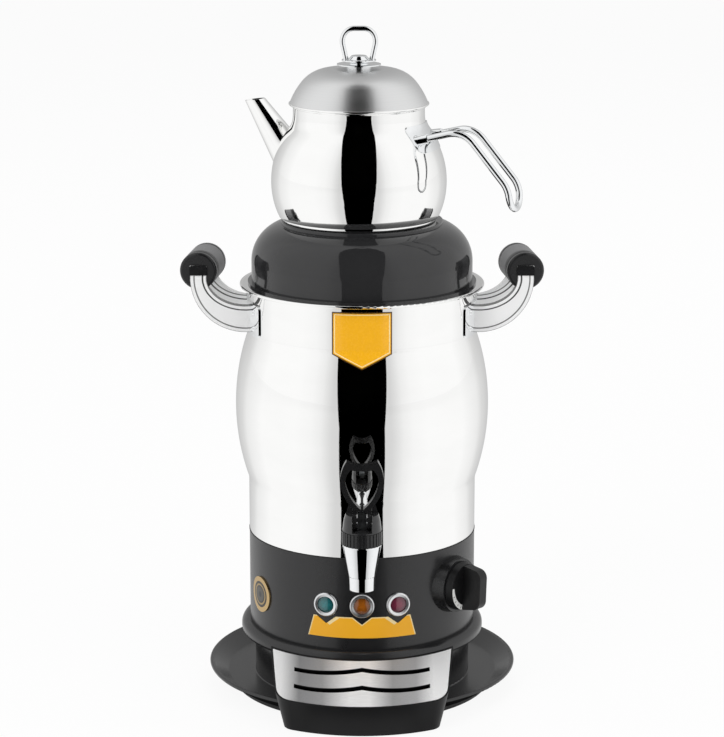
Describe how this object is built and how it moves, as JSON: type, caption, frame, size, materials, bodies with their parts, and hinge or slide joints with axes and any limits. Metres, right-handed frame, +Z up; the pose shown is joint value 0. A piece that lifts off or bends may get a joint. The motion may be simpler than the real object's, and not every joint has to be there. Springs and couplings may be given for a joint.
{
  "type": "electric samovar",
  "caption": "Electric samovar: a steel water tank with a tap, side grips and a lit base, a removable cover, a teapot with its lid, and a drip tray.",
  "frame": {"origin": "on the table, on the tank's vertical axis, at the underside of the rubber ring foot", "axes": "+Z up along the tank's axis, -Y towards the tap and the user, +X to the user's right"},
  "size_m": [0.2862, 0.2758, 0.5332],
  "materials": {
    "rubber_black": "matt",
    "silicone": "matt",
    "black_gloss": "gloss",
    "black_matte": "satin",
    "steel_zinc": "plated",
    "chrome": "polished",
    "lens_green": "gloss",
    "lens_amber": "gloss",
    "lens_red": "gloss",
    "label_amber": "gloss",
    "badge_yellow": "gloss",
    "medallion_gold": "polished",
    "brass": "plain",
    "steel_mirror": "mirror polished",
    "steel_satin": "satin",
    "steel_element": "sheathed",
    "steel_brushed": "brushed"
  },
  "bodies": {
    "base_and_tank": {"foot_ring": "rubber_black", "base_foot": "black_gloss", "bottom_cover": "black_matte", "case_screws": "steel_zinc", "base_collar": "black_gloss", "base_housing": "black_gloss", "lamp_bezels": "chrome", "lamp_lens_green": "lens_green", "lamp_lens_amber": "lens_amber", "lamp_lens_red": "lens_red", "lamp_bodies": "black_matte", "indicator_label": "label_amber", "side_medallion": "medallion_gold", "thermostat_boss": "black_matte", "thermostat_body": "black_matte", "thermostat_nut": "steel_zinc", "thermostat_bulb": "brass", "thermal_cutout": "steel_satin", "power_inlet": "black_matte", "inlet_pins": "brass", "inlet_screws": "steel_zinc", "seal_ring": "rubber_black", "tank_shell": "steel_mirror", "tank_floor": "steel_satin", "heating_element": "steel_element", "element_gaskets": "rubber_black", "element_nuts": "steel_zinc", "badge_plate": "badge_yellow", "tap_body": "chrome", "tap_gaskets": "rubber_black", "tap_nut": "brass", "tap_ring_nut": "black_matte", "tap_bonnet": "black_gloss", "tap_spring": "steel_zinc", "handle_arms": "chrome", "handle_grips": "black_matte", "grip_caps": "black_matte", "grip_rods": "steel_zinc", "foot_plates": "chrome", "handle_rivets": "chrome"},
    "tap_valve": {"tap_stem": "steel_zinc", "tap_cup": "silicone"},
    "tap_handle": {"tap_lever": "black_matte", "tap_pin": "steel_zinc"},
    "thermostat_dial": {"thermostat_knob": "black_matte", "thermostat_shaft": "steel_zinc"},
    "tray": {"drip_tray": "black_matte"},
    "grille": {"drip_grille": "steel_brushed"},
    "cover": {"dome_cover": "black_gloss"},
    "teapot": {"pot_base_disc": "steel_mirror", "pot_body": "steel_mirror", "pot_spout": "steel_mirror", "pot_bracket": "chrome", "bracket_rivets": "chrome", "pot_handle_wire": "chrome", "handle_ferrules": "chrome"},
    "teapot_lid": {"pot_lid": "steel_satin", "lid_knob_base": "chrome", "lid_knob_loop": "chrome", "lid_knob_nut": "steel_zinc"}
  },
  "joints": [
    {"name": "valve_lift", "type": "slide", "parent": "base_and_tank", "child": "tap_valve", "axis": [0, 0, 1], "range_m": [0, 0.0029], "deforming": ["tap_spring"]},
    {"name": "lever_tip", "type": "hinge", "parent": "tap_valve", "child": "tap_handle", "pos_m": [0, -0.136, 0.1742], "axis": [1, 0, 0], "range_deg": [0, 60], "stiffness_Nm_per_rad": 0.05, "springref_deg": -11.46},
    {"name": "thermostat_turn", "type": "hinge", "parent": "base_and_tank", "child": "thermostat_dial", "pos_m": [0, 0, 0.0975], "axis": [0.788, -0.6157, 0], "range_deg": [-270, 0]},
    {"name": "tray_slide", "type": "slide", "parent": "base_and_tank", "child": "tray", "axis": [0, -1, 0], "range_m": [0, 0.09]},
    {"name": "grille_lift", "type": "slide", "parent": "tray", "child": "grille", "axis": [0, 0, 1], "range_m": [0, 0.026]},
    {"name": "cover_lift", "type": "slide", "parent": "base_and_tank", "child": "cover", "axis": [0, 0, 1], "range_m": [0, 0.1]},
    {"name": "teapot_lift", "type": "slide", "parent": "cover", "child": "teapot", "axis": [0, 0, 1], "range_m": [0, 0.12]},
    {"name": "lid_lift", "type": "slide", "parent": "teapot", "child": "teapot_lid", "axis": [0, 0, 1], "range_m": [0, 0.06]}
  ],
  "couplings": [
    {"joint": "valve_lift", "follows": "lever_tip", "m_per_rad": 0.0027}
  ]
}
